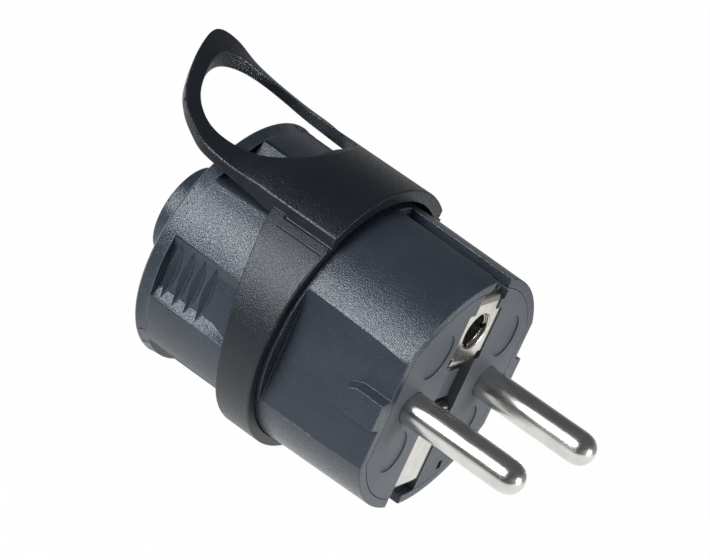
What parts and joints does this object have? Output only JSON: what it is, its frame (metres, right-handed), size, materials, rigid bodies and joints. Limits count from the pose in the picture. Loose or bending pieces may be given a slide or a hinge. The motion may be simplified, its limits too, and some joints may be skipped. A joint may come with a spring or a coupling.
{
  "type": "type f plug",
  "caption": "Straight two-pin earthed mains plug, round body with side flats, side earth contacts, earth pin hole, ribbed rear grips and an arched pull handle.",
  "frame": {"origin": "middle of the engagement face, between the two pins", "axes": "pins point along -Y, +Y runs into the plug to the cable entry, +X to the neutral pin, +Z to the earth hole and the pull handle"},
  "size_m": [0.04, 0.0732, 0.0454],
  "materials": {
    "body_plastic": "fine spark texture",
    "carrier_plastic": "fine matte",
    "grip_plastic": "satin",
    "nickel": "polished nickel plating",
    "earth_metal": "satin plating",
    "brass": "bare",
    "steel": "zinc plated",
    "soft_rubber": "soft matte"
  },
  "bodies": {
    "root": {"front_housing": "body_plastic", "contact_carrier": "carrier_plastic", "live_pin": "nickel", "neutral_pin": "nickel", "earth_strip": "earth_metal", "earth_socket": "brass", "earth_terminal": "brass", "pin_retainer": "carrier_plastic", "retainer_screws": "steel", "terminal_screws": "steel", "wire_clamps": "steel", "threaded_inserts": "brass", "rear_cover": "body_plastic", "cover_screws": "steel", "cord_clamp_bar": "carrier_plastic", "cord_clamp_screws": "steel", "cord_clamp_nuts": "steel", "cord_grommet": "soft_rubber", "grip_collar": "grip_plastic"}
  },
  "joints": []
}
